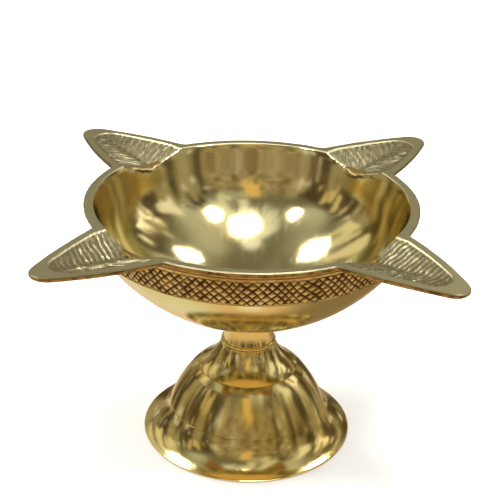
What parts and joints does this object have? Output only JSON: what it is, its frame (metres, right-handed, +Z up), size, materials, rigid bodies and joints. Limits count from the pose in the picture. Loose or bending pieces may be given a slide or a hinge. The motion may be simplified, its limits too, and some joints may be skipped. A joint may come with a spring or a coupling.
{
  "type": "oil lamp",
  "caption": "Round brass oil lamp bowl with leaf-shaped wick spouts at its corners, on a short neck that screws down onto a hollow bell-shaped foot.",
  "frame": {"origin": "centre of the foot's ring, on the surface the lamp stands on", "axes": "+Z up the lamp's axis, -Y towards the front between two spouts, spouts on the diagonals of X and Y"},
  "size_m": [0.1106, 0.1106, 0.076],
  "materials": {
    "brass_casting": "polished, with matt ground rim and spouts",
    "steel_fastener": "zinc-plated"
  },
  "bodies": {
    "stand": {"bell_base": "brass_casting", "washer": "steel_fastener", "nut": "steel_fastener"},
    "stud": {"stud": "steel_fastener"},
    "bowl": {"bowl": "brass_casting"}
  },
  "joints": [
    {"name": "stud_rise", "type": "slide", "parent": "stand", "child": "stud", "axis": [0, 0, 1], "range_m": [0, 0.0066]},
    {"name": "bowl_turn", "type": "hinge", "parent": "stud", "child": "bowl", "pos_m": [0, 0, 0.0298], "axis": [0, 0, 1], "range_deg": [0, 2376]}
  ],
  "couplings": [
    {"joint": "stud_rise", "follows": "bowl_turn", "m_per_rad": 0.00015915}
  ]
}
